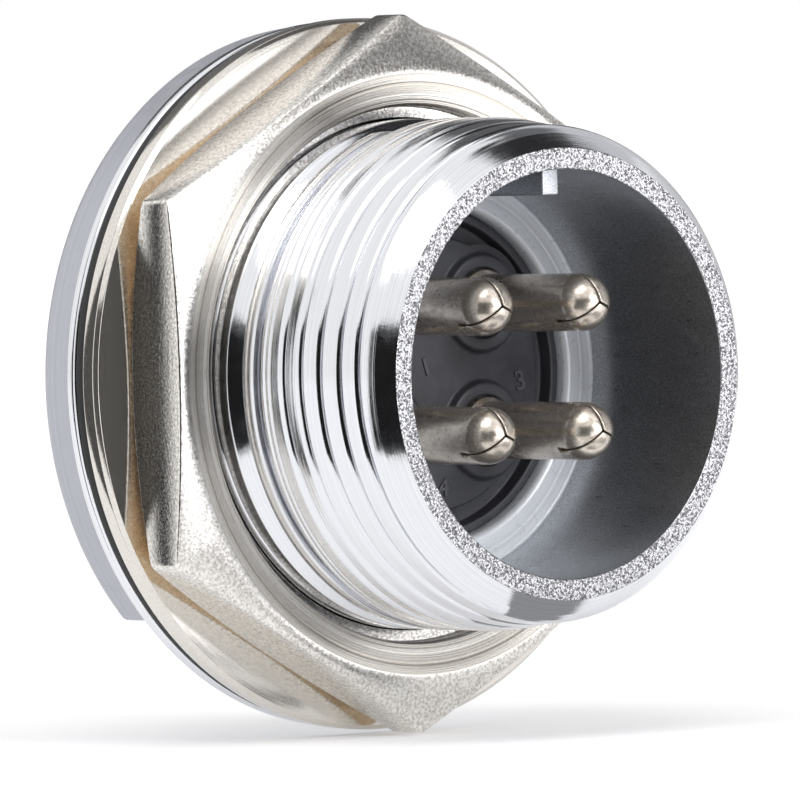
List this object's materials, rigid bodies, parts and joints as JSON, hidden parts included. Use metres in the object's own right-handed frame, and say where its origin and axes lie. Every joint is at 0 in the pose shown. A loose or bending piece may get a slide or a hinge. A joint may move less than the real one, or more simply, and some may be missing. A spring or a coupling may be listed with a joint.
{
  "type": "waterproof circular connector receptacle",
  "caption": "Panel receptacle of a waterproof circular connector: threaded metal barrel with pin contacts in a keyed socket, round flange, gasket, flat washer and hexagon nut.",
  "frame": {"origin": "on the axis, in the flange's seat face that the gasket and the panel's back lie against", "axes": "-Y along the axis out of the open socket, +Y to the solder cups, +Z towards the polarising key, +X to the right seen from the front"},
  "size_m": [0.028, 0.023, 0.0282],
  "materials": {
    "chrome_shell": "bright chrome plate on turned brass",
    "nickel": "satin nickel plate",
    "contact_nickel": "warm nickel plate",
    "insulator": "satin moulded thermoplastic",
    "seal_rubber": "matt rubber",
    "spring_steel": "phosphated spring steel"
  },
  "bodies": {
    "housing": {"shell": "chrome_shell", "flange_gasket": "seal_rubber", "front_insulator": "insulator", "rear_insulator": "insulator", "insulator_seal": "seal_rubber", "retaining_ring": "spring_steel", "contact_1": "contact_nickel", "contact_2": "contact_nickel", "contact_3": "contact_nickel", "contact_4": "contact_nickel", "contact_seal_1": "seal_rubber", "contact_seal_2": "seal_rubber", "contact_seal_3": "seal_rubber", "contact_seal_4": "seal_rubber"},
    "washer": {"flat_washer": "nickel"},
    "nut": {"hex_nut": "nickel"}
  },
  "joints": [
    {"name": "washer_slide", "type": "slide", "parent": "housing", "child": "washer", "axis": [0, -1, 0], "range_m": [0, 0.0082]},
    {"name": "nut_turn", "type": "hinge", "parent": "washer", "child": "nut", "pos_m": [0, 0, 0], "axis": [0, -1, 0], "range_deg": [0, 2880]}
  ],
  "couplings": [
    {"joint": "washer_slide", "follows": "nut_turn", "m_per_rad": 0.00015915}
  ]
}
